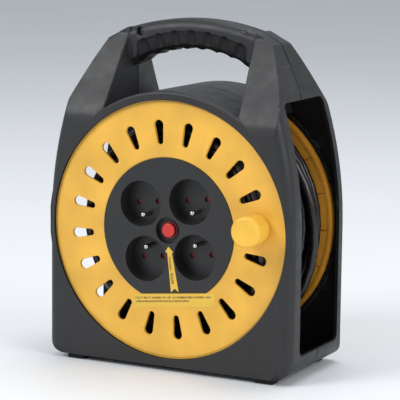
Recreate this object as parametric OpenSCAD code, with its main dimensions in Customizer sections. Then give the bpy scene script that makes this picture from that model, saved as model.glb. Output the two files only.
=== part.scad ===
// Cassette cord reel: two half shells with a carrying handle, a turning drum with four
// earthed sockets and a reset button, a crank knob, and a mains cord wound on the drum.
// X is to the right, Y away from the user and Z up. The part stands on Z = 0.

/* [Housing] */
// Width of the housing
body_w = 240; // [236:1:300]
// Depth of the housing, from front wall to rear wall
body_d = 114; // [108:1:150]
// Height of the whole reel, feet included
total_h = 306; // [303:0.5:330]
// Wall of the half shells
wall = 3; // [2:0.1:3.6]
// Height of the drum axis above the ground
axis_h = 125; // [124.5:0.5:135]
// Radius of the bowed sides above the drum axis
side_arc_r = 350; // [340:5:600]
// Radius of the arched top
top_arc_r = 210; // [190:1:230]
// Radius of the two bottom corners, seen from the front
corner_r = 17; // [14:1:24]
// Rounding of the upright edges
edge_r = 9; // [6:0.5:12]
// Height of the feet
foot_h = 4.5; // [2:0.5:5.5]
// Lowest point of the side windows
window_z = 23.3; // [22:0.5:40]
// Height of the side windows
window_h = 216.7; // [150:0.5:218]
// Reach of the side windows from the seam towards the front
window_front = 38; // [25:1:40]
// Reach of the side windows from the seam towards the rear
window_rear = 42; // [25:1:42]

/* [Handle] */
// Thickness of the handle at its middle
grip_t = 27; // [22:0.5:32]
// Half of the handle's depth
grip_half_d = 15; // [12:0.5:18]
// Radius of the arch under the handle
under_r = 115; // [100:1:140]
// Half width of the finger gap at the seam
gap_half_w = 60.3; // [50:0.1:62]
// Half width of the finger gap at the front and rear faces
gap_flare_w = 66; // [62:0.5:68]
// Spacing of the finger grooves
groove_pitch = 14.6; // [12:0.1:18]
// Depth of the finger grooves
groove_depth = 2; // [0.5:0.1:2.2]

/* [Drum] */
// Diameter of the drum's flanges
drum_d = 225; // [215:0.5:226]
// Angle of the drum at rest, seen from the front
drum_turn = 6.3; // [0:0.1:90]
// Thickness of the flanges
flange_t = 3; // [2:0.1:3.5]
// Radius of the hub that the cord is wound on
hub_r = 67; // [66:0.5:70]
// Distance of the rear flange from the inside of the rear wall
rear_set = 12; // [8:0.5:16]
// Number of places round a flange that hold a slot or the knob
slot_places = 20; // [16:1:24]
// Radius where the slots begin
slot_in = 75; // [74:0.5:80]
// Radius where the slots end
slot_out = 96.5; // [90:0.5:100]

/* [Sockets] */
// Radius of the black socket panel
panel_r = 63.65; // [62:0.05:64]
// Distance from the drum axis to the panel's flat edge
panel_flat = 55; // [50:0.5:58]
// Distance of each socket from the drum axis, along both directions
socket_off = 24.25; // [23.5:0.05:25]
// Radius of a socket's recess
recess_r = 20; // [18:0.1:20.2]
// Depth of a socket's recess
recess_depth = 15; // [12:0.5:16]
// Distance between the two contact holes of a socket
hole_pitch = 19; // [18:0.5:20]
// Distance of the earth pin from the line of the contact holes
earth_off = 10; // [9:0.5:11]
// Diameter of a contact pin
pin_d = 4.8; // [4:0.1:5]

/* [Knob and cord] */
// Radius at which the crank knob stands
knob_at = 86; // [84:0.5:90]
// Radius of the crank knob
knob_r = 13.5; // [11:0.5:15]
// Height of the crank knob above the flange
knob_h = 25; // [18:0.5:32]
// Diameter of the mains cord
cord_d = 8.6; // [7:0.1:9]
// Radius of the cord's plug
plug_r = 17.5; // [15:0.5:17.5]
// Depth of the plug's body
plug_body = 28; // [22:0.5:30]

/* [Hidden] */
$fn = 96;
gap = 0.3; // between pieces that move past each other
running = 0.08; // radial clearance of a bearing
half_w = body_w / 2;
half_d = body_d / 2;
drum_r = drum_d / 2;
lip_r = drum_r + 3.5;
well_r = lip_r + 2;
arch_r = well_r + wall + 0.2;
arch_edge = 2.5;
face_y = wall - half_d; // front of the drum, level with the inside of the front wall
panel_y = face_y - 1;
rear_y = half_d - wall - rear_set;
knob_proud = knob_h - wall;
seam_y = knob_proud / 2; // the seam's place, so that the whole reel is centred on Y = 0
under_z = total_h - grip_t - under_r; // centre of the arch under the handle
crown_z = total_h - top_arc_r; // centre of the arched top
handle_reach = gap_half_w + 3; // where the handle's arc meets the tops of the posts
shoulder_r = 147;
shoulder_z = crown_z + sqrt(pow(top_arc_r, 2) - pow(handle_reach, 2))
    - sqrt(pow(shoulder_r, 2) - pow(handle_reach, 2));
big = 400;

// The shoulders lean back: share of the depth kept, and distance below the top.
shoulder = [[1, 92], [0.972, 85], [0.91, 78.5], [0.825, 72], [0.557, 54], [0.238, 31], [0, 15]];
shoulder_curve = smooth(shoulder, 5);
function shoulder_depth(share) = grip_half_d + share * (half_d - grip_half_d);

// Screws that join the shells: x, z, depth of their bosses, and the side their heads are on.
screw_r = 1.5;
screw_head_r = 3;
screw_seat = 6;
screw_len = 15;
boss_wall = 3.6;
head_h = 2.4;
low_screw_z = foot_h + wall + 6;
post_screw_z = total_h - 57.5;
handle_screw_x = gap_half_w - 9.3;
handle_screw_z = total_h - 13;
post_x = gap_flare_w + 14;
shell_spots = [
    [-gap_half_w, low_screw_z, half_d - 1, 1],
    [gap_half_w, low_screw_z, half_d - 1, 1],
    [-post_x, post_screw_z, shoulder_depth(0.557) - 1, 1],
    [post_x, post_screw_z, shoulder_depth(0.557) - 1, 1],
    [-handle_screw_x, handle_screw_z, grip_half_d - 1, -1],
    [handle_screw_x, handle_screw_z, grip_half_d - 1, 1]
];

// Levels inside the hub, from the panel backwards.
cup_y = panel_y + recess_depth; // floor of the socket recesses
floor_t = 2;
behind_y = cup_y + floor_t;
shutter_t = 3.3;
carrier_y = behind_y + shutter_t + 2 * gap;
bar_y = carrier_y + 2;
bar_t = 1;
cover_y = bar_y + 12.5;
cover_t = 2;
inner_x = socket_off - hole_pitch / 2; // contact nearer the midline
outer_x = socket_off + hole_pitch / 2;
tab_end = cover_y + cover_t + 4; // rear ends of the tabs that the leads go to
carrier_r = 52;
post_at = 48;
column_at = 57;
column_angle = 22.5;
columns = [column_angle, 180 - column_angle, 180 + column_angle, -column_angle];
sockets = [[-1, 1], [1, 1], [-1, -1], [1, -1]];
hub_wall = 3;
shutter_w = hole_pitch + 8.5;
shutter_low = 3.5;
shutter_high = 6;
hole_r = pin_d / 2 + 0.2;

// Button and thermal cut-out on the drum axis.
button_r = 6.25;
skirt_r = 8.2;
button_well_r = 11.5;
well_floor_y = panel_y + 5;
collar_y = well_floor_y + 2;
cutout_y = collar_y + 7;
cutout_r = 10.4;

// The cord on the drum: each layer's start, counted from the front of the winding.
wind_y0 = face_y + flange_t + 2.5;
wind_y1 = rear_y - 0.6;
layer_rise = 0.87 * cord_d;
layer_start = [0, 0, 0, 41, 63];
function layer_r(k) = hub_r + cord_d / 2 + k * layer_rise;
gland_y = 25;
gland_wall = 2.6;
gland_angle = 180;
lead_r = 1.3;
lead_gap = 2.7; // spacing of the three leads where the cord's sheath ends
lead_from = [-32, gland_y, 0];
sheath_end = lead_r + 0.2 - lead_from[0];

// The plug, stowed in the lower left corner with its pins to the front.
plug_at = [3.5 + plug_r + 2 - half_w, 22, foot_h + wall + plug_r + 0.2];
plug_face_y = plug_at[1] - plug_body / 2;
relief_len = 20;
// The loose end of the cord, from under the drum to the plug's strain relief.
tail_end = [plug_at[0] + plug_r + relief_len, plug_at[1], plug_at[2]];
tail_points = [
    [20, 30, 15], [8, 30, 13.6], [-4, 30, 13.4], [-16, 29.4, 14.2], [-28, 27.6, 17],
    [-38, 25, 20.8], [-46, 22.8, 24.2], [-53, plug_at[1], plug_at[2]], tail_end
];

// ---- helpers ----

module place() translate([0, seam_y, 0]) children();

module on_drum() place() translate([0, 0, axis_h]) rotate([0, -drum_turn, 0]) children();

module at(x, z) translate([x, 0, z]) children();

// A plate of a shape drawn in X and Z, from y0 to y1.
module slab(y0, y1) translate([0, y1, 0]) rotate([90, 0, 0]) linear_extrude(y1 - y0) children();

// A bar of a shape drawn in Y and Z, from x0 to x1.
module beam(x0, x1) translate([x0, 0, 0]) rotate([90, 0, 90]) linear_extrude(x1 - x0) children();

module disc(r, y0, y1) translate([0, y0, 0]) rotate([-90, 0, 0]) cylinder(r = r, h = y1 - y0);

module ring(r_out, r_in, y0, y1) difference() {
    disc(r_out, y0, y1);
    disc(r_in, y0 - 1, y1 + 1);
}

// A block given by its lowest and highest corners.
module block(low, high) translate(low) cube(high - low);

// A disc with its front rim rounded, from y = -half to y = more.
module round_disc(r, half, edge, more = 0) rotate([-90, 0, 0]) rotate_extrude($fn = 240) {
    translate([0, -half]) square([r - edge, half + more]);
    translate([0, edge - half]) square([r, half - edge + more]);
    translate([r - edge, edge - half]) circle(edge, $fn = 48);
}

module round_rect(x0, z0, x1, z1, r) {
    translate([x0 + r, z0]) square([x1 - x0 - 2 * r, z1 - z0]);
    translate([x0, z0 + r]) square([x1 - x0, z1 - z0 - 2 * r]);
    for (x = [x0 + r, x1 - r])
        for (z = [z0 + r, z1 - r])
            translate([x, z]) circle(r, $fn = 48);
}

function unit(v) = v / norm(v);

// A tube swept along points, closed at both ends.
module tube(points, r, sides = 10) {
    last = len(points) - 1;
    tangents = [for (i = [0:last]) unit(points[min(i + 1, last)] - points[max(i - 1, 0)])];
    helper = abs(tangents[0][2]) > 0.9 ? [0, 1, 0] : [0, 0, 1];
    rings = [for (i = [0:last])
        let (a = unit(cross(tangents[i], helper)), b = cross(tangents[i], a))
        for (k = [0:sides - 1])
            points[i] + r * (cos(360 * k / sides) * a + sin(360 * k / sides) * b)];
    sides_faces = [for (i = [0:last - 1]) for (k = [0:sides - 1])
        let (n = (k + 1) % sides)
        [i * sides + k, i * sides + n, (i + 1) * sides + n, (i + 1) * sides + k]];
    start = [[for (k = [0:sides - 1]) sides - 1 - k]];
    end = [[for (k = [0:sides - 1]) last * sides + k]];
    polyhedron(rings, concat(sides_faces, start, end), convexity = 6);
}

// Points of a smooth curve through a route, with n steps in each stretch.
function bend(p, i, t) =
    let (a = p[max(i - 1, 0)], b = p[i], c = p[i + 1], d = p[min(i + 2, len(p) - 1)])
    0.5 * (2 * b + (c - a) * t + (2 * a - 5 * b + 4 * c - d) * t * t
        + (3 * b - a - 3 * c + d) * t * t * t);
function smooth(p, n) = concat(
    [for (i = [0:len(p) - 2]) for (k = [0:n - 1]) bend(p, i, k / n)], [p[len(p) - 1]]);

// A coil spring along Z, from z = 0 to z = len.
module coil(r, wire, len, turns) {
    steps = 8 * turns;
    tube([for (i = [0:steps]) [r * cos(45 * i), r * sin(45 * i), wire + (len - 2 * wire) * i / steps]],
        wire, 6);
}

module screw_y(seat, dir, len, r = screw_r, head_r = screw_head_r) {
    low = min(seat - dir * len, seat);
    disc(r, low, low + len);
    difference() {
        disc(head_r, min(seat, seat + dir * head_h), max(seat, seat + dir * head_h));
        translate([0, seat + dir * head_h, 0]) cube([1, 2 * 1.2, 4.4], center = true);
        translate([0, seat + dir * head_h, 0]) cube([4.4, 2 * 1.2, 1], center = true);
    }
}

// ---- housing ----

// Front view of the housing, drawn in by i.
module outline(i) intersection() {
    translate([0, crown_z]) circle(top_arc_r - i, $fn = 240);
    union() {
        translate([0, shoulder_z]) circle(shoulder_r - i, $fn = 240);
        translate([-half_w, 0]) square([body_w, shoulder_z]);
    }
    round_rect(i - half_w, foot_h + i, half_w - i, big, corner_r - i);
}

// Side view of one half, with the sloping shoulders.
module side_outline(i, more) polygon(concat(
    [[more, 0], [i - half_d, 0], [i - half_d, total_h - shoulder[0][1] - 4]],
    [for (s = shoulder_curve) [1.25 * i - shoulder_depth(s[0]), total_h - s[1]]],
    [[1.25 * i - grip_half_d, total_h + 5], [more, total_h + 5]]));

// One half of the housing's form, without the drum arch, drawn in by i.
module body_form(i, more = 0) intersection() {
    union() {
        intersection() {
            at(side_arc_r - half_w, axis_h) round_disc(side_arc_r - i, half_d - i, edge_r - i, more);
            at(half_w - side_arc_r, axis_h) round_disc(side_arc_r - i, half_d - i, edge_r - i, more);
            block([-half_w, -half_d, axis_h], [half_w, more, total_h + 5]);
        }
        intersection() {
            linear_extrude(axis_h) round_rect(i - half_w, i - half_d, half_w - i, big, edge_r - i);
            block([-half_w, -half_d, 0], [half_w, more, axis_h]);
        }
    }
    slab(-half_d, more) outline(i);
    beam(-half_w, half_w) side_outline(i, more);
}

module arch_form() intersection() {
    at(0, axis_h) round_disc(arch_r, half_d, arch_edge);
    block([-half_w, -half_d, axis_h + arch_r / 2], [half_w, 0, total_h]);
}

// The space for the hand, grown by g.
module hand_gap(g) difference() {
    translate([0, 0, axis_h + hub_r]) linear_extrude(total_h) polygon([
        [-gap_half_w - g, 1], [-gap_half_w - g, 0], [-gap_flare_w - g, -half_d - 1],
        [gap_flare_w + g, -half_d - 1], [gap_half_w + g, 0], [gap_half_w + g, 1]]);
    at(0, axis_h) disc(arch_r - g, -half_d - 2, 2);
}

module handle_bar(i, reach, more = 0) difference() {
    intersection() {
        at(0, crown_z) round_disc(top_arc_r - i, grip_half_d - i, edge_r - i, more);
        block([-reach, -half_d, axis_h], [reach, more, total_h + 1]);
    }
    at(0, under_z) {
        disc(under_r + i, -half_d, more + 1);
        translate([0, i - grip_half_d, 0]) rotate([-90, 0, 0])
            cylinder(r1 = under_r + i + chamfer_rise, r2 = under_r + i, h = chamfer_deep);
    }
}

module finger_grooves() at(0, under_z)
    for (k = [-3:3])
        rotate([0, k * groove_pitch * 180 / (PI * under_r), 0])
            at(0, under_r - 14 + groove_depth) disc(14, 6 - half_d, half_d);

// Flutes that carry the finger grooves up the front of the handle.
flute_r = 6;
flute_rise = 12.5; // height of the flutes above the handle's underside
grip_rise = 16.5; // height of the sunk field that the flutes stand in
grip_sink = 1;
grip_wall = wall + 1.5; // the handle's wall, thicker under the flutes
flute_out = flute_r - groove_depth - grip_sink;
chamfer_rise = 6;
chamfer_deep = 7;

module flute_run(a, b) {
    lean = atan2(b[1] - a[1], b[0] - a[0]);
    translate([0, a[1], a[0]]) {
        sphere(flute_r);
        rotate([-lean, 0, 0]) cylinder(r = flute_r, h = norm(b - a));
    }
}

module flutes() {
    slope = atan2(chamfer_rise, chamfer_deep);
    bend_at = [chamfer_rise + flute_out * (sin(slope) - 1) / cos(slope), -grip_half_d - flute_out];
    low = [-flute_out * cos(slope) - 4 * sin(slope),
        chamfer_deep - grip_half_d - flute_out * sin(slope) + 4 * cos(slope)];
    at(0, under_z)
        for (k = [-3:3])
            rotate([0, k * groove_pitch * 180 / (PI * under_r), 0]) at(0, under_r) {
                flute_run([flute_rise, bend_at[1]], bend_at);
                flute_run(bend_at, low);
            }
}

// The sunk field on the front of the handle.
module grip_field() intersection() {
    at(0, under_z) disc(under_r + grip_rise, -half_d, grip_sink - grip_half_d);
    block([-3.7 * groove_pitch, -half_d, axis_h], [3.7 * groove_pitch, 0, total_h]);
}

// A fine groove along the seam of the shells.
seam_half = 0.5;
seam_deep = 1.1;

module seam_cut() difference() {
    block([-half_w - 1, -seam_half, 0], [half_w + 1, 1, total_h + 6]);
    difference() {
        body_form(seam_deep, 2);
        hand_gap(seam_deep);
    }
    handle_bar(seam_deep, handle_reach, 2);
}

module bearing_rib(r) intersection() {
    at(0, axis_h) ring(r + 3.4, r, face_y - 0.5, face_y + 5);
    block([1 - half_w, -half_d, foot_h + 1], [half_w - 1, 0, total_h]);
}

// A half shell drawn with its outer wall towards -Y. Side is -1 at the front, 1 at the rear.
module half_shell(side, opening_r, bearing_r, window_reach) difference() {
    union() {
        difference() {
            union() {
                difference() {
                    union() {
                        body_form(0);
                        arch_form();
                    }
                    hand_gap(0);
                }
                difference() {
                    handle_bar(0, handle_reach);
                    finger_grooves();
                    flutes();
                    grip_field();
                }
            }
            difference() {
                body_form(wall, 1);
                hand_gap(wall);
            }
            intersection() {
                at(0, axis_h) disc(well_r, face_y, 1);
                block([wall - half_w, -half_d, foot_h + wall], [half_w - wall, 1, total_h]);
            }
            handle_bar(grip_wall, gap_half_w - wall, 1);
        }
        bearing_rib(bearing_r);
        for (s = shell_spots)
            at(s[0], s[1]) disc(screw_r + boss_wall, -s[2], 0);
    }
    seam_cut();
    at(0, axis_h) disc(opening_r, -half_d - 1, face_y + 1);
    for (x = [-half_w - 5, half_w - 34])
        beam(x, x + 39) round_rect(-window_reach, window_z, window_reach, window_z + window_h, 6);
    for (s = shell_spots)
        at(s[0], s[1]) {
            disc(screw_r + 0.1, 4 - screw_len, 1);
            if (s[3] == side) disc(screw_head_r + 0.4, -half_d - 1, -screw_seat);
        }
}

module front_shell() color([0.22, 0.22, 0.24]) place()
    half_shell(-1, drum_r + 1, lip_r + running, window_front);

module rear_shell() color([0.22, 0.22, 0.24]) place() mirror([0, 1, 0])
    half_shell(1, drum_r - 8.5, drum_r + running, window_rear);

module shell_screws() color("silver") place()
    for (s = shell_spots)
        at(s[0], s[1]) screw_y(s[3] * screw_seat, s[3], screw_len);

module feet() color([0.12, 0.12, 0.12]) place()
    for (x = [-1, 1])
        for (y = [-1, 1])
            translate([x * (half_w - 27), y * (half_d - 10), 0])
                linear_extrude(foot_h) round_rect(-9, -7, 9, 7, 3);

// ---- drum ----

module panel_outline(grow) difference() {
    circle(panel_r + grow, $fn = 180);
    translate([-panel_r - 5, -panel_r - 5 - panel_flat - grow]) square([2 * panel_r + 10, panel_r + 5]);
}

// One tapered slot with round ends, pointing up.
module slot() {
    r_in = 2.9;
    r_out = 4.4;
    translate([0, slot_in + r_in]) circle(r_in, $fn = 32);
    translate([0, slot_out - r_out]) circle(r_out, $fn = 32);
    polygon([[-r_in, slot_in + r_in], [r_in, slot_in + r_in],
        [r_out, slot_out - r_out], [-r_out, slot_out - r_out]]);
}

module slots(first, y0, y1)
    for (k = [first:slot_places - 1])
        rotate([0, 90 + k * 360 / slot_places, 0]) slab(y0, y1) slot();

module front_flange() color([0.94, 0.72, 0.31]) on_drum() difference() {
    union() {
        disc(drum_r, face_y, face_y + flange_t);
        disc(lip_r, face_y + gap, face_y + flange_t);
    }
    slots(1, face_y - 1, face_y + flange_t + 1);
    slab(face_y - 1, face_y + 1.5) panel_outline(0.35);
    slab(face_y, face_y + flange_t + 1) panel_outline(-3);
    at(knob_at, 0) disc(3, face_y - 1, face_y + flange_t + 1);
}

module rear_flange() color([0.94, 0.72, 0.31]) on_drum() difference() {
    union() {
        disc(drum_r, rear_y, rear_y + flange_t);
        ring(drum_r, drum_r - 3.5, rear_y, half_d - wall - gap);
        ring(drum_r, drum_r - 2.5, rear_y - 0.8, rear_y + 1);
    }
    for (k = [0:slot_places - 1])
        rotate([0, (k + 0.5) * 360 / slot_places, 0])
            block([slot_out, rear_y - 1, -0.6], [drum_r - 4, rear_y + 0.9, 0.6]);
    slots(0, rear_y - 2, rear_y + flange_t + 1);
    disc(22, rear_y - 1, rear_y + flange_t + 1);
    for (a = columns)
        rotate([0, a, 0]) at(column_at, 0) disc(1.6, rear_y - 1, rear_y + flange_t + 1);
}

module hub_barrel() color([0.9, 0.66, 0.25]) on_drum() difference() {
    union() {
        ring(hub_r, hub_r - hub_wall, face_y + flange_t, rear_y);
        for (a = columns)
            rotate([0, a, 0]) {
                at(column_at, 0) disc(4.5, face_y + flange_t + 5, rear_y);
                block([column_at, face_y + flange_t + 5, -1], [hub_r - 1, rear_y, 1]);
            }
    }
    for (a = columns)
        rotate([0, a, 0]) at(column_at, 0) disc(1.5, rear_y - 20, rear_y + 1);
    rotate([0, -gland_angle, 0]) translate([hub_r - 8, gland_y, 0])
        rotate([0, 90, 0]) cylinder(r = cord_d / 2 + gland_wall, h = 12);
}

module flange_screws() color("silver") on_drum()
    for (a = columns)
        rotate([0, a, 0]) at(column_at, 0) screw_y(rear_y + flange_t, 1, 18);

// ---- socket panel and what it holds ----

module socket_panel() color([0.15, 0.15, 0.16]) on_drum() difference() {
    union() {
        slab(panel_y, panel_y + 2.5) panel_outline(0);
        for (s = sockets)
            at(s[0] * socket_off, s[1] * socket_off) {
                disc(recess_r + 1.5, panel_y + 1, behind_y);
                for (x = [-1, 1])
                    block([x * (shutter_w / 2 + gap + 0.7) - 0.7, behind_y - 1, min(-6 * s[1], 16 * s[1])],
                        [x * (shutter_w / 2 + gap + 0.7) + 0.7, carrier_y, max(-6 * s[1], 16 * s[1])]);
                block([-3, behind_y - 1, s[1] > 0 ? 18 : -19.5], [3, carrier_y, s[1] > 0 ? 19.5 : -18]);
            }
        disc(button_well_r + 1.5, panel_y + 1, cup_y);
        for (a = [0, 90, 180, 270])
            rotate([0, a, 0]) at(post_at, 0) disc(3, panel_y + 1, cover_y);
        for (a = [45, 135, 225, 315])
            rotate([0, a, 0]) {
                block([panel_r - 5.3, panel_y + 1, -4], [panel_r - 3.3, panel_y + 7.5, 4]);
                block([panel_r - 3.4, face_y + flange_t + 0.2, -4], [panel_r - 1.7, panel_y + 7.5, 4]);
            }
    }
    for (s = sockets)
        at(s[0] * socket_off, s[1] * socket_off) {
            disc(recess_r, panel_y - 1, cup_y);
            for (x = [-1, 1])
                at(x * hole_pitch / 2, 0) disc(hole_r, cup_y - 1, behind_y + 1);
            at(0, -s[1] * earth_off) disc(pin_d / 2 + 0.1, cup_y - 1, behind_y + 1);
        }
    disc(button_well_r, panel_y - 1, well_floor_y);
    disc(skirt_r + 0.4, panel_y, collar_y + 1);
    disc(cutout_r + 0.2, collar_y, cup_y + 1);
    for (a = [0, 90, 180, 270])
        rotate([0, a, 0]) at(post_at, 0) disc(1.25, cover_y - 10, cover_y + 1);
}

module label_strip() color([0.95, 0.8, 0.35]) on_drum()
    slab(face_y - 0.3, face_y) round_rect(-40.4, -panel_flat - 12.4, 40.4, -panel_flat - 0.8, 1);

module arrow_label() color([0.95, 0.8, 0.35]) on_drum()
    slab(panel_y - 0.3, panel_y) polygon([[-0.4, -13.9], [3.9, -19.2], [2.4, -19.6],
        [5.8, 0.7 - panel_flat], [2.2, 4 - panel_flat], [-1.8, 0.7 - panel_flat],
        [-2, -19.2], [-4, -18.8]]);

module earth_bar() color("silver") on_drum() difference() {
    union() {
        ring(16, 12, behind_y, behind_y + bar_t);
        for (x = [-1, 1]) {
            block([x * 19 - 6, behind_y, -3], [x * 19 + 6, behind_y + bar_t, 3]);
            block([x * socket_off - 3.5, behind_y, -18], [x * socket_off + 3.5, behind_y + bar_t, 18]);
        }
        for (s = sockets)
            at(s[0] * socket_off, s[1] * (socket_off - earth_off)) {
                disc(pin_d / 2, panel_y + 3.4, behind_y + bar_t);
                translate([0, panel_y + 3.4, 0]) sphere(pin_d / 2);
            }
        block([-socket_off - 3, behind_y, -2], [bar_t - socket_off - 3, cover_y + cover_t + 4, 2]);
    }
}

module contact_bar(left, right, foot) {
    for (x = [left, right])
        block([x - 3, bar_y, min(-foot * 27.7, foot * 36)], [x + 3, bar_y + bar_t, max(-foot * 27.7, foot * 36)]);
    block([left - 3, bar_y, min(foot * 31.5, foot * 36)], [right + 3, bar_y + bar_t, max(foot * 31.5, foot * 36)]);
}

module pin_holes(left, right, r, y0, y1)
    for (x = [left, right])
        for (z = [-1, 1])
            at(x, z * socket_off) disc(r, y0, y1);

module live_bar() color([0.8, 0.62, 0.3]) on_drum() difference() {
    union() {
        contact_bar(-inner_x, outer_x, -1);
        block([outer_x - 3, bar_y, -36], [outer_x + 3, tab_end, -35]);
    }
    pin_holes(-inner_x, outer_x, pin_d / 2 + 0.05, bar_y - 1, bar_y + bar_t + 1);
}

module neutral_bar() color([0.8, 0.62, 0.3]) on_drum() difference() {
    union() {
        contact_bar(-outer_x, inner_x, 1);
        block([-outer_x - 3, bar_y, 35], [3 - outer_x, tab_end, 36]);
    }
    pin_holes(-outer_x, inner_x, pin_d / 2 + 0.05, bar_y - 1, bar_y + bar_t + 1);
}

module contact_sleeves() color([0.85, 0.68, 0.35]) on_drum()
    for (s = sockets)
        for (x = [-1, 1])
            at(s[0] * socket_off + x * hole_pitch / 2, s[1] * socket_off)
                ring(pin_d / 2 + 0.8, pin_d / 2 + 0.05, bar_y + bar_t, cover_y - 0.2);

module contact_carrier() color([0.85, 0.85, 0.8]) on_drum() difference() {
    disc(carrier_r, carrier_y, bar_y);
    for (s = sockets)
        for (x = [-1, 1])
            at(s[0] * socket_off + x * hole_pitch / 2, s[1] * socket_off)
                disc(pin_d / 2 + 0.3, carrier_y - 1, bar_y + 1);
    disc(cutout_r + 0.3, carrier_y - 1, bar_y + 1);
    for (a = [0, 90, 180, 270])
        rotate([0, a, 0]) at(post_at, 0) disc(3.1, carrier_y - 1, bar_y + 1);
    block([-socket_off - 3.5, carrier_y - 1, -2.5], [1.5 - socket_off - 3, bar_y + 1, 2.5]);
}

module contact_cover() color([0.85, 0.85, 0.8]) on_drum() difference() {
    disc(carrier_r, cover_y, cover_y + cover_t);
    disc(cutout_r + 0.3, cover_y - 1, cover_y + cover_t + 1);
    for (a = [0, 90, 180, 270])
        rotate([0, a, 0]) at(post_at, 0) disc(1.4, cover_y - 1, cover_y + cover_t + 1);
    block([-socket_off - 3.5, cover_y - 1, -2.5], [1.5 - socket_off - 3, cover_y + cover_t + 1, 2.5]);
    block([outer_x - 3.4, cover_y - 1, -36.5], [outer_x + 3.4, cover_y + cover_t + 1, -34.5]);
    block([-outer_x - 3.4, cover_y - 1, 34.5], [3.4 - outer_x, cover_y + cover_t + 1, 36.5]);
}

module cover_screws() color("silver") on_drum()
    for (a = [0, 90, 180, 270])
        rotate([0, a, 0]) at(post_at, 0) screw_y(cover_y + cover_t, 1, 11, 1.2, 2.8);

module cutout_body() color([0.2, 0.2, 0.22]) on_drum() {
    difference() {
        union() {
            disc(cutout_r, cutout_y, cover_y + cover_t + 4);
            disc(cutout_r + 2, cover_y - 1.8, cover_y - 0.1);
        }
        disc(3.3, cutout_y - 1, cutout_y + 8);
    }
    for (x = [-5, 5])
        block([x - 0.4, cover_y + cover_t + 4, -3], [x + 0.4, cover_y + cover_t + 12, 3]);
}

module reset_button() color([0.8, 0.2, 0.2]) on_drum() {
    disc(button_r, panel_y + 0.8, well_floor_y - 1);
    disc(skirt_r, well_floor_y - 1, collar_y + 0.1);
    disc(skirt_r + 1.3, collar_y + 0.1, collar_y + 1);
    disc(3, collar_y + 1, cutout_y + 3);
}

module button_spring() color("silver") on_drum() translate([0, collar_y + 1, 0])
    rotate([-90, 0, 0]) coil(4.4, 0.4, cutout_y - collar_y - 1, 4);

module shutter(k) color([0.45, 0.1, 0.1]) on_drum() {
    s = sockets[k - 1];
    at(s[0] * socket_off, s[1] * socket_off)
        block([-shutter_w / 2, behind_y + gap, min(-s[1] * shutter_low, s[1] * shutter_high)],
            [shutter_w / 2, behind_y + gap + shutter_t, max(-s[1] * shutter_low, s[1] * shutter_high)]);
}

module shutter_spring(k) color("silver") on_drum() {
    s = sockets[k - 1];
    translate([s[0] * socket_off, behind_y + gap + shutter_t / 2, s[1] * (socket_off + shutter_high)])
        rotate([s[1] > 0 ? 0 : 180, 0, 0]) coil(1.2, 0.25, 12, 6);
}

module shutter_1() shutter(1);
module shutter_2() shutter(2);
module shutter_3() shutter(3);
module shutter_4() shutter(4);
module shutter_spring_1() shutter_spring(1);
module shutter_spring_2() shutter_spring(2);
module shutter_spring_3() shutter_spring(3);
module shutter_spring_4() shutter_spring(4);

// ---- crank knob ----

module knob() color([0.95, 0.72, 0.25]) on_drum() at(knob_at, 0) difference() {
    translate([0, face_y - gap, 0]) rotate([90, 0, 0]) rotate_extrude() {
        polygon([[0, 0], [knob_r - 1.5, 0], [knob_r, 8], [knob_r, knob_h - gap - 3], [0, knob_h - gap - 3]]);
        square([knob_r - 3, knob_h - gap]);
        translate([knob_r - 3, knob_h - gap - 3]) circle(3, $fn = 48);
    }
    disc(3 + running, face_y - 18.5, face_y + 1);
}

module knob_axle() color("silver") on_drum() at(knob_at, 0) {
    disc(3, face_y - 18, face_y + flange_t);
    disc(5.5, face_y + flange_t, face_y + flange_t + 1.5);
}

// ---- cord inside the hub ----

module rear_cap() color([0.15, 0.15, 0.16]) on_drum() {
    disc(26, rear_y + flange_t, rear_y + flange_t + 2);
    ring(21.8, 19.8, rear_y - 2, rear_y + flange_t);
}

clamp_y = gland_y - cord_d / 2 - 3; // front of the cord clamp
clamp_screw_len = 20;

module cord_clamp() color([0.15, 0.15, 0.16]) on_drum() rotate([0, -gland_angle, 0]) difference() {
    union() {
        block([34, gland_y + cord_d / 2, -12], [44, rear_y, 12]);
        block([34, clamp_y, -12], [44, gland_y - cord_d / 2, 12]);
    }
    for (z = [-8.5, 8.5])
        at(39, z) disc(1.5, clamp_y - 1, clamp_y + clamp_screw_len + 0.6);
}

module clamp_screws() color("silver") on_drum() rotate([0, -gland_angle, 0])
    for (z = [-8.5, 8.5])
        at(39, z) screw_y(clamp_y, -1, clamp_screw_len, 1.45, 2.8);

module cord_gland() color([0.1, 0.1, 0.1]) on_drum() rotate([0, -gland_angle, 0])
    translate([0, gland_y, 0]) rotate([0, 90, 0]) difference() {
        translate([0, 0, hub_r - hub_wall - 4]) cylinder(r = cord_d / 2 + gland_wall, h = hub_wall + 3.6);
        translate([0, 0, hub_r - hub_wall - 5]) cylinder(r = cord_d / 2, h = hub_wall + 6);
    }

module inner_cord() color([0.08, 0.08, 0.08]) on_drum() rotate([0, -gland_angle, 0])
    translate([sheath_end, gland_y, 0]) rotate([0, 90, 0])
        cylinder(r = cord_d / 2, h = hub_r - 0.4 - sheath_end);

module lead(row, second, via, to) tube(smooth([
    lead_from + [0, 0, row * lead_gap], second, via, to + [0, 6, 0], to], 5), lead_r, 8);

module live_lead() color([0.5, 0.25, 0.1]) on_drum()
    lead(0, [-24, 22, 0], [-8, 12, 0], [5, cover_y + cover_t + 12.2, 0]);

module neutral_lead() color([0.1, 0.2, 0.7]) on_drum()
    lead(1, [-24, 20, 6], [-26, 8, 24], [-outer_x, tab_end + 0.2, 35.5]);

module earth_lead() color([0.3, 0.6, 0.1]) on_drum()
    lead(-1, [-27, 18, -5.4], [-27, 4, -4], [-socket_off - 2.5, tab_end + 0.2, 0]);

// ---- wound cord, its loose end and the plug ----

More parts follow.
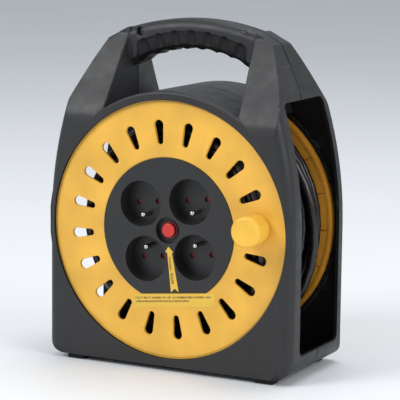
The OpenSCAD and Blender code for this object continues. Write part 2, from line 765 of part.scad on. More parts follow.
module cord_winding() color([0.08, 0.08, 0.08]) on_drum() rotate([-90, 0, 0]) rotate_extrude($fn = 180)
    for (k = [0:len(layer_start) - 1]) {
        y0 = wind_y0 + layer_start[k];
        r = layer_r(k);
        d2 = cord_d / 2;
        translate([hub_r, y0]) square([r - hub_r, wind_y1 - y0]);
        translate([hub_r, y0 + d2]) square([r + d2 - hub_r, wind_y1 - y0 - cord_d]);
        for (y = [y0 + d2, wind_y1 - d2])
            translate([r, y]) circle(d2, $fn = 48);
    }

module cord_tail() color([0.08, 0.08, 0.08]) place() tube(smooth(tail_points, 3), cord_d / 2, 12);

module plug_body() color([0.1, 0.1, 0.1]) place() translate([plug_at[0], 0, plug_at[2]]) difference() {
    union() {
        disc(plug_r, plug_face_y, plug_face_y + plug_body - 8);
        translate([0, plug_face_y + plug_body - 8, 0]) rotate([-90, 0, 0])
            cylinder(r1 = plug_r, r2 = plug_r - 5, h = 8);
        translate([0, plug_at[1], 0]) rotate([0, 90, 0]) cylinder(r = 7.4, h = plug_r);
    }
    at(0, -earth_off) disc(pin_d / 2 + 0.2, plug_face_y - 1, plug_face_y + 18);
    for (x = [-1, 1])
        at(x * hole_pitch / 2, 0) disc(pin_d / 2, plug_face_y - 1, plug_face_y + 6);
}

module plug_pins() color("silver") place() translate([plug_at[0], 0, plug_at[2]])
    for (x = [-1, 1])
        at(x * hole_pitch / 2, 0) {
            disc(pin_d / 2, plug_face_y - 17.5, plug_face_y + 6);
            translate([0, plug_face_y - 17.5, 0]) rotate([90, 0, 0])
                cylinder(r1 = pin_d / 2, r2 = pin_d / 2 - 1.3, h = 1.5);
        }

module plug_relief() color([0.1, 0.1, 0.1]) place() translate([plug_at[0] + plug_r, plug_at[1], plug_at[2]])
    rotate([0, 90, 0]) {
        cylinder(r1 = 7, r2 = cord_d / 2 + 0.9, h = relief_len);
        for (k = [1:4])
            translate([0, 0, 3.6 * k]) cylinder(r = 7.3 - 0.4 * k, h = 1.4);
    }

front_shell();
rear_shell();
shell_screws();
feet();
front_flange();
rear_flange();
hub_barrel();
flange_screws();
socket_panel();
label_strip();
arrow_label();
earth_bar();
live_bar();
neutral_bar();
contact_sleeves();
contact_carrier();
contact_cover();
cover_screws();
cutout_body();
reset_button();
button_spring();
shutter_1();
shutter_2();
shutter_3();
shutter_4();
shutter_spring_1();
shutter_spring_2();
shutter_spring_3();
shutter_spring_4();
knob();
knob_axle();
rear_cap();
cord_clamp();
clamp_screws();
cord_gland();
inner_cord();
live_lead();
neutral_lead();
earth_lead();
cord_winding();
cord_tail();
plug_body();
plug_pins();
plug_relief();
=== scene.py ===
import math
import random

import bmesh
import bpy
from mathutils import Matrix, Vector


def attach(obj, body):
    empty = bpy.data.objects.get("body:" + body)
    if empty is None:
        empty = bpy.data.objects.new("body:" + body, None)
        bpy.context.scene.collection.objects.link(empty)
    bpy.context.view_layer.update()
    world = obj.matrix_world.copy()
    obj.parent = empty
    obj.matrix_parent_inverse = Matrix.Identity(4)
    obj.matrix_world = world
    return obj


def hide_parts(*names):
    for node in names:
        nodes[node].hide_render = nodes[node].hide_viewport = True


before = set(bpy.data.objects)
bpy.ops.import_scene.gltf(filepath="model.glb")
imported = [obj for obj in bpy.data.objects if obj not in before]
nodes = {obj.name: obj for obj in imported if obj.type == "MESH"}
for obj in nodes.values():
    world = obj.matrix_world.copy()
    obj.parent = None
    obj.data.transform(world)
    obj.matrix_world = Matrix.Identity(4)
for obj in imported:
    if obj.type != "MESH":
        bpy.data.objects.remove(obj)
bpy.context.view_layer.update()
random.seed(7)

# the shared sizes of the reel, in metres
reel = {
    "seamY": 0.011,        # where the two shells meet
    "axisZ": 0.125,        # height of the drum axis
    "drumTurn": 6.3,       # degrees, as the drum stands
    "drumY": -0.043,       # front face of the drum
    "cordRadius": 0.0043,
}


def rad(degrees):
    return math.radians(degrees)


def onDrum(x, y, z):
    # a place on the drum, given as if the drum stood unturned, y from the seam
    turn = rad(reel["drumTurn"])
    return Vector((x * math.cos(turn) - z * math.sin(turn),
                   reel["seamY"] + y,
                   reel["axisZ"] + x * math.sin(turn) + z * math.cos(turn)))


# camera
view = {
    "place": (0.7820, -1.5053, 0.4188),
    "aim": (0.0225, -0.0267, 0.1514),
    "roll": 0.67,
    "lens": 174.7,
    "sensor": 36.0,
}


def makeCamera():
    bpy.ops.object.camera_add(location=view["place"])
    camera = bpy.context.object
    camera.name = "viewCamera"
    away = Vector(view["aim"]) - Vector(view["place"])
    turn = away.to_track_quat("-Z", "Y").to_matrix().to_4x4()
    roll = Matrix.Rotation(rad(view["roll"]), 4, "Z")
    camera.matrix_world = Matrix.Translation(view["place"]) @ turn @ roll
    camera.data.lens = view["lens"]
    camera.data.sensor_width = view["sensor"]
    camera.data.sensor_fit = "HORIZONTAL"
    camera.data.clip_end = 100
    bpy.context.scene.camera = camera
    bpy.context.scene.view_settings.view_transform = "Standard"
    return camera


makeCamera()
print("camera set")


# cord wound on the drum, and its loose end
winding = {
    "start": (0.025, 0.0713),   # y and radius where the cord leaves the drum
    "gland": 186.3,             # degrees
    "layers": [                 # turns in the layer, y at its end, radius of the layer
        (8.0, -0.0442, 0.0713),
        (9.25, 0.0371, 0.0788),
        (9.25, -0.0442, 0.0863),
        (1.0, -0.0032, 0.0938),
        (4.6, 0.0371, 0.0938),
        (2.3, 0.0210, 0.1012),
        (0.339, 0.0300, 0.1118),
    ],
    "easedLayers": (3, 6),      # part layers, in which y changes smoothly
    "stepsPerTurn": 36,
    "climb": 0.16,              # share of a turn in which the cord climbs to the next layer
    "leave": 0.1,               # share of a turn in which it comes out of the gland
    "leaveDeep": 0.005,
    "wander": 0.00035,
    "length": 18.0,
}

tail = {
    # the loose end, from under the drum to the plug, y from the seam
    "route": [
        (0.020, 0.030, 0.015), (0.008, 0.030, 0.0136), (-0.004, 0.030, 0.0134),
        (-0.016, 0.0294, 0.0142), (-0.028, 0.0276, 0.0170), (-0.038, 0.025, 0.0208),
        (-0.046, 0.0228, 0.0242), (-0.053, 0.022, 0.0252), (-0.0595, 0.022, 0.0252),
    ],
    "steps": 5,
    "length": 0.083,
}


def easy(t):
    t = min(max(t, 0.0), 1.0)
    return t * t * (3 - 2 * t)


def windingPoints():
    points = []
    turned = 0.0
    y, radius = winding["start"]
    total = sum(layer[0] for layer in winding["layers"])
    phase = [random.uniform(0, 6.28) for k in range(4)]
    for number, (turns, endY, layerRadius) in enumerate(winding["layers"]):
        steps = int(round(turns * winding["stepsPerTurn"]))
        last = number == len(winding["layers"]) - 1
        for k in range(steps):
            t = k / steps
            share = t * turns
            a = rad(winding["gland"] - 360 * (turned + share))
            rise = easy(t) if last else easy(share / winding["climb"])
            r = radius + (layerRadius - radius) * rise
            atY = y + (endY - y) * (easy(t) if number in winding["easedLayers"] else t)
            done = turned + share
            fade = min(1.0, done, (total - done) * 2)
            r += fade * winding["wander"] * math.sin(2.3 * a + phase[0] + 0.7 * done)
            atY += fade * winding["wander"] * math.sin(1.7 * a + phase[1] + 1.9 * done)
            if done < winding["leave"]:
                r -= winding["leaveDeep"] * (1 - easy(done / winding["leave"]))
            points.append((r * math.cos(a), reel["seamY"] + atY, reel["axisZ"] + r * math.sin(a)))
        turned += turns
        y, radius = endY, layerRadius
    a = rad(winding["gland"] - 360 * turned)
    points.append((radius * math.cos(a), reel["seamY"] + y, reel["axisZ"] + radius * math.sin(a)))
    return points


def smoothRoute(route, steps):
    # a smooth curve through the route, with the same number of steps in each stretch
    p = [Vector(q) for q in route]
    points = []
    for i in range(len(p) - 1):
        a, b, c, d = p[max(i - 1, 0)], p[i], p[i + 1], p[min(i + 2, len(p) - 1)]
        for k in range(steps):
            t = k / steps
            points.append(0.5 * (2 * b + (c - a) * t + (2 * a - 5 * b + 4 * c - d) * t * t
                                 + (3 * b - a - 3 * c + d) * t * t * t))
    points.append(p[-1])
    return points


def cordCurve(name, points, sides):
    data = bpy.data.curves.new(name, "CURVE")
    data.dimensions = "3D"
    data.bevel_depth = 1.0
    data.bevel_resolution = sides
    data.use_fill_caps = True
    data.resolution_u = 1
    spline = data.splines.new("POLY")
    spline.points.add(len(points) - 1)
    for spot, place in zip(spline.points, points):
        spot.co = (place[0], place[1], place[2], 1)
        spot.radius = reel["cordRadius"]  # thickness, as a share of the bevel depth
    spline.use_smooth = True
    piece = bpy.data.objects.new(name, data)
    bpy.context.collection.objects.link(piece)
    return piece


drumPoints = windingPoints()
drumCord = cordCurve("woundCord", drumPoints, 4)
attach(drumCord, "drum")
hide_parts("cord_winding")

tailPoints = [(p[0], p[1] + reel["seamY"], p[2]) for p in smoothRoute(tail["route"], tail["steps"])]
tailCord = cordCurve("looseCordEnd", tailPoints, 5)
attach(tailCord, "housing")
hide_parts("cord_tail")
print("cords wound,", len(drumPoints), "points")


# helpers for the pieces
copyLook = {
    "mergeGap": 0.000004,
    "flatAngle": 0.2,      # degrees between faces that count as one
}


def only(piece):
    # selects this piece alone
    if bpy.context.object and bpy.context.object.mode != "OBJECT":
        bpy.ops.object.mode_set(mode="OBJECT")
    bpy.ops.object.select_all(action="DESELECT")
    bpy.context.view_layer.objects.active = piece
    piece.select_set(True)


def edit(piece, kind="FACE"):
    only(piece)
    bpy.ops.object.mode_set(mode="EDIT")
    bpy.ops.mesh.select_mode(type=kind)
    bpy.ops.mesh.select_all(action="DESELECT")
    return bmesh.from_edit_mesh(piece.data)


def done(piece, angle=30):
    # back to object mode, in place, with smooth faces between its edges
    bpy.ops.object.mode_set(mode="OBJECT")
    only(piece)
    bpy.ops.object.transform_apply(location=True, rotation=True, scale=True)
    bpy.ops.object.shade_smooth_by_angle(angle=rad(angle))
    return piece


def cleanCopy(node, name, flatten=True):
    # a merged copy of a CAD node, to be softened along its edges
    piece = nodes[node].copy()
    piece.data = nodes[node].data.copy()
    for key in list(piece.keys()):
        del piece[key]
    piece.name = name
    piece.parent = None
    piece.matrix_world = Matrix.Identity(4)
    bpy.context.collection.objects.link(piece)
    edit(piece)
    bpy.ops.mesh.select_all(action="SELECT")
    bpy.ops.mesh.remove_doubles(threshold=copyLook["mergeGap"])
    if flatten:
        bpy.ops.mesh.dissolve_limited(angle_limit=rad(copyLook["flatAngle"]))
    bpy.ops.object.mode_set(mode="OBJECT")
    return piece


def sliceFaces(piece, axis, low, high, step, region=None):
    # cuts the faces by evenly spaced planes, so that long thin faces shade evenly
    bm = edit(piece)
    normal = [0, 0, 0]
    normal["xyz".index(axis)] = 1
    place = low
    while place <= high:
        for face in bm.faces:
            face.select_set(region is None or region(face.calc_center_median()))
        bmesh.update_edit_mesh(piece.data)
        at = [0, 0, 0]
        at["xyz".index(axis)] = place
        bpy.ops.mesh.bisect(plane_co=at, plane_no=normal, use_fill=False)
        bm = bmesh.from_edit_mesh(piece.data)
        place += step
    bpy.ops.object.mode_set(mode="OBJECT")


def evenNormals(piece, angle):
    # smooth faces, with the large faces keeping their own direction
    only(piece)
    bpy.ops.object.shade_smooth_by_angle(angle=rad(angle))
    modifier = piece.modifiers.new("evenNormals", "WEIGHTED_NORMAL")
    modifier.mode = "FACE_AREA_WITH_ANGLE"
    modifier.keep_sharp = True
    bpy.ops.object.modifier_apply(modifier=modifier.name)


def softenEdges(piece, pick, width, steps=2, sharp=32):
    # rounds the sharp edges whose two ends are both picked
    bm = edit(piece, "EDGE")
    count = 0
    for edge in bm.edges:
        if len(edge.link_faces) == 2 and edge.calc_face_angle(0) > rad(sharp):
            if pick(edge.verts[0].co) and pick(edge.verts[1].co):
                edge.select_set(True)
                count += 1
    bmesh.update_edit_mesh(piece.data)
    if count:
        bpy.ops.mesh.bevel(offset=width, segments=steps, profile=0.5, clamp_overlap=False)
    bpy.ops.object.mode_set(mode="OBJECT")
    return count


def fromAxis(p):
    return math.hypot(p.x, p.z - reel["axisZ"])


def isAt(value, wanted):
    return abs(value - wanted) < 0.0002


def finish(piece, body, slotName, *replaced, angle=30):
    done(piece, angle)
    evenNormals(piece, angle)
    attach(piece, body)
    if replaced:
        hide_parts(*replaced)
    return piece


# housing shells
shellLook = {
    "postEdge": 0.001,
    "postX": (0.0585, 0.0675),             # where the hand gap's edges are
    "postZ": (0.222, 0.2865),
    "postY": 0.017,                        # least distance from the seam
    "sliceX": (-0.114, 0.1141, 0.012),     # first, last and step
    "sliceZ": (0.0137, 0.3, 0.016),
    "slicePosts": (-0.117, 0.1171, 0.006),
    "windowTop": 0.2395,
    "gapX": 0.068,
    "gapRadius": 0.1205,
    "inward": -0.002,
}


def isPostEdge(p):
    # the edges of the hand gap on the posts, outside the shells
    inX = shellLook["postX"][0] < abs(p.x) < shellLook["postX"][1]
    inZ = shellLook["postZ"][0] < p.z < shellLook["postZ"][1]
    return inX and inZ and shellLook["postY"] < abs(p.y - reel["seamY"])


def isOnPost(p):
    return abs(p.x) > 0.055 and p.z > 0.205


def makeShell(node, name):
    piece = cleanCopy(node, name, flatten=False)
    print(name, len(piece.data.polygons), "faces at first")
    sliceFaces(piece, "x", *shellLook["sliceX"])
    sliceFaces(piece, "z", *shellLook["sliceZ"])
    sliceFaces(piece, "x", *shellLook["slicePosts"], isOnPost)
    count = softenEdges(piece, isPostEdge, shellLook["postEdge"], 2, 40)
    print(name, count, "post edges")
    return finish(piece, "housing", "housing_black", node)


frontShell = makeShell("front_shell", "frontHalfShell")
rearShell = makeShell("rear_shell", "rearHalfShell")
print("shells made,", len(frontShell.data.polygons), len(rearShell.data.polygons), "faces")


# drum flanges
flangeLook = {
    "slotEdge": 0.0005,
    "rimEdge": 0.0006,
    "slots": (0.072, 0.098),   # radii between which the slots lie
    "rim": 0.111,
    "frontY": -0.043,
    "rearY": 0.053,
}


def makeFlange(node, name, faceY):
    piece = cleanCopy(node, name)
    inner, outer = flangeLook["slots"]
    softenEdges(piece, lambda p: isAt(p.y, faceY) and inner < fromAxis(p) < outer,
                flangeLook["slotEdge"], 2)
    softenEdges(piece, lambda p: isAt(p.y, faceY) and fromAxis(p) > flangeLook["rim"],
                flangeLook["rimEdge"], 3)
    return finish(piece, "drum", "drum_yellow", node)


frontFlange = makeFlange("front_flange", "frontFlange", flangeLook["frontY"])
rearFlange = makeFlange("rear_flange", "rearFlange", flangeLook["rearY"])
print("flanges made")


# crank knob
knobLook = {
    "radius": 0.0135,
    "foot": 0.0122,        # radius at the flange
    "at": 0.086,
    "height": 0.0247,
    "rim": 0.0034,
    "dish": 0.0003,
    "dishEdge": (0.0026, 0.0006),
    "into": 0.0003,        # how far the knob sits in the flange
    "widens": 0.006,       # height in which the side widens from its foot
    "sides": 72,
}


def makeKnob():
    centre = onDrum(knobLook["at"], 0, 0)
    low = reel["drumY"] - knobLook["into"]
    middle = low - knobLook["height"] / 2
    bpy.ops.object.select_all(action="DESELECT")
    bpy.ops.mesh.primitive_cylinder_add(vertices=knobLook["sides"], radius=knobLook["radius"],
                                        depth=knobLook["height"], rotation=(rad(90), 0, 0),
                                        location=(centre.x, middle, centre.z))
    piece = bpy.context.object
    piece.name = "crankKnob"
    only(piece)
    bpy.ops.object.transform_apply(location=True, rotation=True, scale=True)
    bm = edit(piece, "EDGE")
    front = min(v.co.y for v in bm.verts)
    for edge in bm.edges:
        if all(abs(v.co.y - front) < 1e-5 for v in edge.verts):
            edge.select_set(True)
    bmesh.update_edit_mesh(piece.data)
    bpy.ops.mesh.bevel(offset=knobLook["rim"], segments=7, profile=0.5)
    bm = edit(piece)
    for face in bm.faces:
        if face.normal.y < -0.9 and len(face.verts) > 20:
            face.select_set(True)
    bmesh.update_edit_mesh(piece.data)
    for width in knobLook["dishEdge"]:
        bpy.ops.mesh.inset(thickness=width)
    bpy.ops.transform.translate(value=(0, knobLook["dish"], 0))
    # the side widens from its foot
    bm = edit(piece)
    for face in bm.faces:
        if face.normal.y > 0.9:
            face.select_set(True)
    bmesh.update_edit_mesh(piece.data)
    share = knobLook["foot"] / knobLook["radius"]
    bpy.ops.mesh.extrude_region_move(TRANSFORM_OT_translate={"value": (0, -0.0001, 0)})
    bpy.ops.transform.resize(value=(share, 1, share), center_override=(centre.x, low, centre.z))
    bpy.ops.mesh.select_all(action="DESELECT")
    bm = edit(piece)
    for v in bm.verts:
        across = math.hypot(v.co.x - centre.x, v.co.z - centre.z)
        if abs(v.co.y - low) < 1e-5 and abs(across - knobLook["radius"]) < 1e-5:
            v.co.y -= knobLook["widens"]
    bmesh.update_edit_mesh(piece.data)
    bpy.ops.mesh.select_all(action="SELECT")
    bpy.ops.mesh.normals_make_consistent(inside=False)
    return finish(piece, "knob", "knob_yellow", "knob", angle=35)


crankKnob = makeKnob()
print("knob made")


# socket panel
panelLook = {
    "faceY": -0.044,
    "edge": 0.0004,
}


def makePanel():
    piece = cleanCopy("socket_panel", "socketPanel")
    softenEdges(piece, lambda p: isAt(p.y, panelLook["faceY"]), panelLook["edge"], 2)
    return finish(piece, "drum", "panel_black", "socket_panel")


socketPanel = makePanel()


# reset button
buttonLook = {
    "capY": -0.0425,
    "capEdge": 0.0011,
    "ringY": (-0.0412, -0.0392),
    "ringRadius": 0.0078,
    "ringEdge": 0.0005,
    "skirtRadius": 0.0064,     # the darker ring begins here
    "skirtY": -0.0413,
}


def isOnRing(p):
    return buttonLook["ringY"][0] < p.y < buttonLook["ringY"][1] and fromAxis(p) > buttonLook["ringRadius"]


def makeButton():
    piece = cleanCopy("reset_button", "resetButton")
    softenEdges(piece, lambda p: p.y < buttonLook["capY"], buttonLook["capEdge"], 4)
    softenEdges(piece, isOnRing, buttonLook["ringEdge"], 2)
    return finish(piece, "reset_button", "button_red", "reset_button")


resetButton = makeButton()
print("panel and button made")


# plug
plugLook = {
    "faceX": -0.08,
    "edge": 0.0008,
    "reliefEdge": 0.0003,
}


def makePlug():
    piece = cleanCopy("plug_body", "mainsPlug")
    softenEdges(piece, lambda p: p.x < plugLook["faceX"], plugLook["edge"], 3)
    finish(piece, "housing", "plug_black", "plug_body")
    relief = cleanCopy("plug_relief", "plugRelief")
    softenEdges(relief, lambda p: True, plugLook["reliefEdge"], 2)
    finish(relief, "housing", "plug_black", "plug_relief")
    return piece, relief


mainsPlug, plugRelief = makePlug()
print("plug made")


# finishes
def linear(value):
    value /= 255
    return value / 12.92 if value <= 0.04045 else ((value + 0.055) / 1.055) ** 2.4


def colour(r, g, b):
    return (linear(r), linear(g), linear(b), 1)


def newFinish(name):
    material = bpy.data.materials.new(name)
    material.use_nodes = True
    tree = material.node_tree
    tree.nodes.clear()
    output = tree.nodes.new("ShaderNodeOutputMaterial")
    shader = tree.nodes.new("ShaderNodeBsdfPrincipled")
    tree.links.new(shader.outputs["BSDF"], output.inputs["Surface"])
    return material, tree, shader


def noise(tree, scale, detail=2.0, stretch=(1, 1, 1)):
    place = tree.nodes.new("ShaderNodeTexCoord")
    mapping = tree.nodes.new("ShaderNodeMapping")
    mapping.inputs["Scale"].default_value = stretch
    pattern = tree.nodes.new("ShaderNodeTexNoise")
    pattern.inputs["Scale"].default_value = scale
    pattern.inputs["Detail"].default_value = detail
    tree.links.new(place.outputs["Object"], mapping.inputs["Vector"])
    tree.links.new(mapping.outputs["Vector"], pattern.inputs["Vector"])
    return pattern.outputs["Fac"]


def ramp(tree, value, stops):
    node = tree.nodes.new("ShaderNodeValToRGB")
    while len(node.color_ramp.elements) < len(stops):
        node.color_ramp.elements.new(0.5)
    for element, (place, tone) in zip(node.color_ramp.elements, stops):
        element.position = place
        element.color = tone
    tree.links.new(value, node.inputs["Fac"])
    return node.outputs["Color"]


def spread(tree, value, low, high):
    node = tree.nodes.new("ShaderNodeMapRange")
    node.inputs["From Min"].default_value = 0.3
    node.inputs["From Max"].default_value = 0.7
    node.inputs["To Min"].default_value = low
    node.inputs["To Max"].default_value = high
    tree.links.new(value, node.inputs["Value"])
    return node.outputs["Result"]


def bump(tree, shader, value, depth, strength=1.0):
    node = tree.nodes.new("ShaderNodeBump")
    node.inputs["Distance"].default_value = depth
    node.inputs["Strength"].default_value = strength
    tree.links.new(value, node.inputs["Height"])
    tree.links.new(node.outputs["Normal"], shader.inputs["Normal"])
    return node


def mixed(tree, factor, first, second):
    node = tree.nodes.new("ShaderNodeMix")
    node.data_type = "RGBA"
    tree.links.new(factor, node.inputs["Factor"])
    for name, value in (("A", first), ("B", second)):
        socket = [s for s in node.inputs if s.name == name and s.type == "RGBA"][0]
        if isinstance(value, tuple):
            socket.default_value = value
        else:
            tree.links.new(value, socket)
    return [s for s in node.outputs if s.type == "RGBA"][0]


def maths(tree, operation, first, second, third=0.0):
    node = tree.nodes.new("ShaderNodeMath")
    node.operation = operation
    for socket, value in zip(node.inputs, (first, second, third)):
        if isinstance(value, float):
            socket.default_value = value
        else:
            tree.links.new(value, socket)
    return node.outputs[0]


def mouldedPlastic(name, tone, rough, grain=1500, depth=0.00005, scuffs=0.25, gloss=0.5, glow=0.0):
    # moulded plastic: fine grain, slow changes of tone, and faint handling scuffs
    material, tree, shader = newFinish(name)
    dark = tuple(c * 0.86 for c in tone[:3]) + (1,)
    light = tuple(min(1.0, c * 1.1) for c in tone[:3]) + (1,)
    base = ramp(tree, noise(tree, 26, 3), [(0.3, dark), (0.7, light)])
    worn = ramp(tree, noise(tree, 170, 6, (1, 1, 0.12)),
                [(0.66, (0, 0, 0, 1)), (0.78, (scuffs, scuffs, scuffs, 1))])
    pale = tuple(min(1.0, c * 1.35 + 0.02) for c in tone[:3]) + (1,)
    tree.links.new(mixed(tree, worn, base, pale), shader.inputs["Base Color"])
    tree.links.new(spread(tree, noise(tree, 90, 4), rough - 0.05, rough + 0.06), shader.inputs["Roughness"])
    bump(tree, shader, noise(tree, grain, 2), depth, 0.6)
    shader.inputs["Specular IOR Level"].default_value = gloss
    if glow:
        shader.inputs["Subsurface Weight"].default_value = glow
        shader.inputs["Subsurface Radius"].default_value = (0.004, 0.002, 0.0006)
        shader.inputs["Subsurface Scale"].default_value = 1.0
    return material


labelPrint = {
    # rows of short dashes that stand for small print: middle x, half length, middle z, half height
    "ink": (70, 50, 20),
    "strip": [(-0.001, 0.0375, -0.0590, 0.0009), (-0.012, 0.0265, -0.0622, 0.0009)],
    "arrow": [(0.0000, 0.0011, -0.0290, 0.0060), (0.0006, 0.0013, -0.0420, 0.0050)],
    "grain": {"X": (1500, 0, 160), "Z": (160, 0, 1500)},
}


def printedLabel(name, slotName, rows, along):
    # a paper label with rows of dashes in place of its print, set square to the drum
    material, tree, shader = newFinish(name)
    place = tree.nodes.new("ShaderNodeTexCoord")
    square = tree.nodes.new("ShaderNodeMapping")
    square.vector_type = "TEXTURE"
    square.inputs["Location"].default_value = (0, 0, reel["axisZ"])
    square.inputs["Rotation"].default_value = (0, -rad(reel["drumTurn"]), 0)
    tree.links.new(place.outputs["Object"], square.inputs["Vector"])
    parts = tree.nodes.new("ShaderNodeSeparateXYZ")
    tree.links.new(square.outputs["Vector"], parts.inputs["Vector"])
    dashes = tree.nodes.new("ShaderNodeMapping")
    dashes.inputs["Scale"].default_value = labelPrint["grain"][along]
    tree.links.new(square.outputs["Vector"], dashes.inputs["Vector"])
    grain = tree.nodes.new("ShaderNodeTexNoise")
    grain.inputs["Scale"].default_value = 1.0
    grain.inputs["Detail"].default_value = 1.0
    tree.links.new(dashes.outputs["Vector"], grain.inputs["Vector"])
    inked = maths(tree, "GREATER_THAN", grain.outputs["Fac"], 0.46)
    inRows = None
    for x, halfX, z, halfZ in rows:
        inside = maths(tree, "MULTIPLY",
                           maths(tree, "COMPARE", parts.outputs["X"], x, halfX),
                           maths(tree, "COMPARE", parts.outputs["Z"], z, halfZ))
        inRows = inside if inRows is None else maths(tree, "MAXIMUM", inRows, inside)
    paper = ramp(tree, noise(tree, 60, 3), [(0.3, tuple(c * 0.93 for c in tone(slotName)[:3]) + (1,)),
                                            (0.7, tone(slotName))])
    ink = maths(tree, "MULTIPLY", inked, inRows)
    tree.links.new(mixed(tree, maths(tree, "MULTIPLY", ink, 0.75), paper, colour(*labelPrint["ink"])),
                   shader.inputs["Base Color"])
    tree.links.new(spread(tree, noise(tree, 200, 3), 0.3, 0.42), shader.inputs["Roughness"])
    bump(tree, shader, noise(tree, 1200, 2), 0.00001, 0.4)
    return material


# painted shade: a dark line along the seam stands for the shade in the groove between the shells
seamShade = {
    "core": 0.0012,   # half width of the dark line where the shells meet
    "edge": 0.0003,
    "tone": (7, 7, 8),
}


def paintSeamShade(material):
    # painted shade and dust in the groove between the two shells
    tree = material.node_tree
    shader = tree.nodes["Principled BSDF"]
    base = shader.inputs["Base Color"].links[0].from_socket
    place = tree.nodes.new("ShaderNodeTexCoord")
    parts = tree.nodes.new("ShaderNodeSeparateXYZ")
    tree.links.new(place.outputs["Object"], parts.inputs[0])
    offset = maths(tree, "SUBTRACT", parts.outputs["Y"], reel["seamY"])
    away = maths(tree, "ABSOLUTE", offset, 0.0)
    reach = 2 * (seamShade["core"] + seamShade["edge"])
    outside = ramp(tree, maths(tree, "DIVIDE", away, reach),
                   [(seamShade["core"] / reach, (0, 0, 0, 1)), (0.5, (1, 1, 1, 1))])
    tree.links.new(mixed(tree, outside, colour(*seamShade["tone"]), base), shader.inputs["Base Color"])


def brushedMetal(name, tone, rough):
    material, tree, shader = newFinish(name)
    dark = tuple(c * 0.8 for c in tone[:3]) + (1,)
    tree.links.new(ramp(tree, noise(tree, 400, 3), [(0.3, dark), (0.7, tone)]), shader.inputs["Base Color"])
    tree.links.new(spread(tree, noise(tree, 900, 3), rough - 0.06, rough + 0.08), shader.inputs["Roughness"])
    bump(tree, shader, noise(tree, 1800, 2), 0.00002, 0.4)
    shader.inputs["Metallic"].default_value = 1.0
    return material


finishTones = {
    "housing_black": (36, 36, 37),
    "drum_yellow": (232, 178, 68),
    "panel_black": (30, 30, 31),
    # painted shade: a darker yellow for the faces inside the drum
    "drum_inside": (210, 144, 46),
    # painted shade: a darker black for the handle's sunk, ribbed field
    "grip_matte": (19, 19, 20),
    # painted shade: a darker black for the inner faces of the shells
    "housing_inside": (13, 13, 15),
    "knob_yellow": (240, 188, 66),
    "button_red": (196, 44, 38),
    "button_skirt": (92, 16, 16),
    "shutter_red": (120, 22, 18),
    "label_yellow": (228, 186, 66),
    "foot_rubber": (24, 24, 25),
    "cord_black": (12, 12, 13),
    "plug_black": (22, 22, 23),
    "cutout_black": (35, 35, 37),
    "carrier_ivory": (214, 208, 190),
    "lead_brown": (90, 48, 22),
    "lead_blue": (28, 60, 150),
    "lead_green": (70, 140, 40),
    "screw_steel": (190, 192, 196),
    "pin_nickel": (205, 200, 190),
    "contact_brass": (205, 165, 80),
}


def tone(name):
    return colour(*finishTones[name])


plastics = {
    # roughness, grain, depth of the grain, scuffs, gloss, light let in
    "housing_black": (0.46, 1300, 0.00007, 0.35, 0.45),
    "grip_matte": (0.6, 900, 0.00009, 0.1, 0.3),
    "housing_inside": (0.62, 900, 0.00008, 0.1, 0.25),
    "drum_inside": (0.45, 1700, 0.00003, 0.1, 0.4),
    "drum_yellow": (0.42, 1700, 0.00003, 0.12, 0.45, 0.12),
    "knob_yellow": (0.36, 1700, 0.00003, 0.1, 0.5, 0.15),
    "panel_black": (0.4, 1900, 0.00004, 0.2, 0.5),
    "button_red": (0.3, 2100, 0.00002, 0.08, 0.5, 0.1),
    "shutter_red": (0.45, 2100, 0.00002, 0.05),
    "label_yellow": (0.35, 2500, 0.00001, 0.05),
    "button_skirt": (0.4, 2100, 0.00002, 0.05),
    "foot_rubber": (0.75, 2600, 0.00008, 0.3, 0.3),
    "cord_black": (0.27, 2400, 0.00002, 0.1, 0.55),
    "plug_black": (0.4, 1500, 0.00004, 0.2),
    "cutout_black": (0.45, 1500, 0.00004, 0.1),
    "carrier_ivory": (0.5, 1500, 0.00003, 0.1),
    "lead_brown": (0.35, 2200, 0.00002, 0.05),
    "lead_blue": (0.35, 2200, 0.00002, 0.05),
    "lead_green": (0.35, 2200, 0.00002, 0.05),
}

metals = {"screw_steel": 0.3, "pin_nickel": 0.22, "contact_brass": 0.3}  # roughness


def makeFinishes():
    made = {}
    for name, look in plastics.items():
        first, second = name.split("_")
        made[name] = mouldedPlastic(first + second.capitalize(), tone(name), *look)
    paintSeamShade(made["housing_black"])
    for name, rough in metals.items():
        first, second = name.split("_")
        made[name] = brushedMetal(first + second.capitalize(), tone(name), rough)
    made["strip_print"] = printedLabel("stripPrint", "label_yellow", labelPrint["strip"], "X")
    made["arrow_print"] = printedLabel("arrowPrint", "label_yellow", labelPrint["arrow"], "Z")
    return made


finishes = makeFinishes()


def dress(piece, slotName):
    if piece.type == "CURVE":
        piece.data.materials.clear()
        piece.data.materials.append(finishes[slotName])
        return
    if not piece.material_slots:
        piece.data.materials.append(finishes[slotName])
    for spot in piece.material_slots:
        spot.material = finishes[slotName]


slotOf = {
    "front_shell": "housing_black", "rear_shell": "housing_black", "shell_screws": "screw_steel",
    "feet": "foot_rubber", "front_flange": "drum_yellow", "rear_flange": "drum_yellow",
    "hub_barrel": "drum_inside", "flange_screws": "screw_steel", "socket_panel": "panel_black",
    "label_strip": "strip_print", "arrow_label": "arrow_print", "earth_bar": "pin_nickel",
    "live_bar": "contact_brass", "neutral_bar": "contact_brass", "contact_sleeves": "contact_brass",
    "contact_carrier": "carrier_ivory", "contact_cover": "carrier_ivory", "cover_screws": "screw_steel",
    "cutout_body": "cutout_black", "reset_button": "button_red", "button_spring": "screw_steel",
    "knob": "knob_yellow", "knob_axle": "screw_steel", "rear_cap": "panel_black",
    "cord_clamp": "panel_black", "clamp_screws": "screw_steel", "cord_gland": "cord_black",
    "inner_cord": "cord_black", "live_lead": "lead_brown", "neutral_lead": "lead_blue",
    "earth_lead": "lead_green", "cord_winding": "cord_black", "cord_tail": "cord_black",
    "plug_body": "plug_black", "plug_pins": "pin_nickel", "plug_relief": "plug_black",
}
for name, node in nodes.items():
    if name.startswith("shutter_spring"):
        dress(node, "screw_steel")
    elif name.startswith("shutter_"):
        dress(node, "shutter_red")
    else:
        dress(node, slotOf[name])
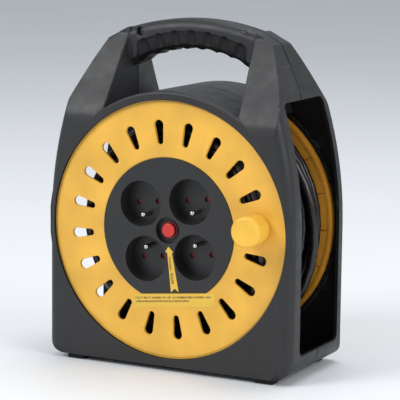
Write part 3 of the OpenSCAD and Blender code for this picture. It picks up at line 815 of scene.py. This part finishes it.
for piece, slotName in ((drumCord, "cord_black"), (tailCord, "cord_black"),
                        (frontShell, "housing_black"), (rearShell, "housing_black"),
                        (frontFlange, "drum_yellow"), (rearFlange, "drum_yellow"),
                        (crankKnob, "knob_yellow"), (socketPanel, "panel_black"),
                        (resetButton, "button_red"), (mainsPlug, "plug_black"),
                        (plugRelief, "plug_black")):
    dress(piece, slotName)


def dressFaces(piece, finishName, pick):
    # gives the picked faces a finish of their own
    piece.data.materials.append(finishes[finishName])
    for face in piece.data.polygons:
        if pick(face.center, face.normal):
            face.material_index = len(piece.data.materials) - 1


def isSkirt(p, normal):
    # the ring round the button is a darker red than its cap
    return fromAxis(p) > buttonLook["skirtRadius"] or p.y > buttonLook["skirtY"]


def isShadedInside(p, normal):
    # the inner faces of a shell are rougher than its polished outside, and darker as painted shade inside
    # the housing
    middle = Vector((0, reel["seamY"], reel["axisZ"]))
    atGap = abs(p.x) < shellLook["gapX"] and fromAxis(p) > shellLook["gapRadius"]
    return p.z < shellLook["windowTop"] and not atGap and (p - middle).dot(normal) < shellLook["inward"]


grip = {
    "archZ": 0.164,      # centre of the arch under the handle
    "low": 0.114,        # the ribbed field, as radii from that centre
    "high": 0.1313,
    "halfWidth": 0.0542,
    "halfDepth": 0.0142,
}


def isShadedGrip(p, normal):
    # the sunk, ribbed field of the handle has a matte surface, and a darker tone that is painted shade in
    # its flutes
    r = math.hypot(p.x, p.z - grip["archZ"])
    inField = grip["low"] < r < grip["high"] and p.z > grip["archZ"]
    inWidth = abs(p.x) < grip["halfWidth"]
    return inField and inWidth and abs(p.y - reel["seamY"]) < grip["halfDepth"]


dressFaces(resetButton, "button_skirt", isSkirt)
# painted shade: the inner faces of the rear flange get a darker yellow for the shade between the flanges
dressFaces(rearFlange, "drum_inside", lambda p, normal: normal.y < 0.5)
for shell in (frontShell, rearShell):
    dressFaces(shell, "grip_matte", isShadedGrip)
    dressFaces(shell, "housing_inside", isShadedInside)
print("finishes made")


# floor and lights
studio = {
    "floorSize": 30.0,
    "floor": (236, 238, 240),
    "sky": (226, 231, 238),
    "skyStrength": 0.62,
    "key": {"at": (-1.3, -1.9, 1.9), "size": 1.4, "power": 42},
    "fill": {"at": (2.3, -0.6, 1.3), "size": 1.6, "power": 26},
    "top": {"at": (0.2, 0.6, 2.4), "size": 1.6, "power": 22},
}


def makeFloor():
    bpy.ops.object.select_all(action="DESELECT")
    bpy.ops.mesh.primitive_plane_add(size=studio["floorSize"], location=(0, 0, 0))
    floor = bpy.context.object
    floor.name = "studioFloor"
    material, tree, shader = newFinish("floorPaper")
    pale = colour(*studio["floor"])
    dull = colour(*[c * 0.985 for c in studio["floor"]])
    tree.links.new(ramp(tree, noise(tree, 3, 2), [(0.2, dull), (0.8, pale)]), shader.inputs["Base Color"])
    shader.inputs["Roughness"].default_value = 0.6
    floor.data.materials.append(material)
    return floor


def makeLight(name, look, aim=(0, 0, 0.14)):
    bpy.ops.object.light_add(type="AREA", location=look["at"])
    light = bpy.context.object
    light.name = name
    light.data.shape = "DISK"
    light.data.size = look["size"]
    light.data.energy = look["power"]
    away = Vector(aim) - Vector(look["at"])
    light.rotation_euler = away.to_track_quat("-Z", "Y").to_euler()
    return light


def makeStudio():
    makeFloor()
    makeLight("keyLight", studio["key"])
    makeLight("fillLight", studio["fill"])
    makeLight("topLight", studio["top"])
    world = bpy.data.worlds.new("studioWorld")
    bpy.context.scene.world = world
    world.use_nodes = True
    back = world.node_tree.nodes["Background"]
    back.inputs["Color"].default_value = colour(*studio["sky"])
    back.inputs["Strength"].default_value = studio["skyStrength"]


makeStudio()
print("studio set")

bpy.context.view_layer.update()
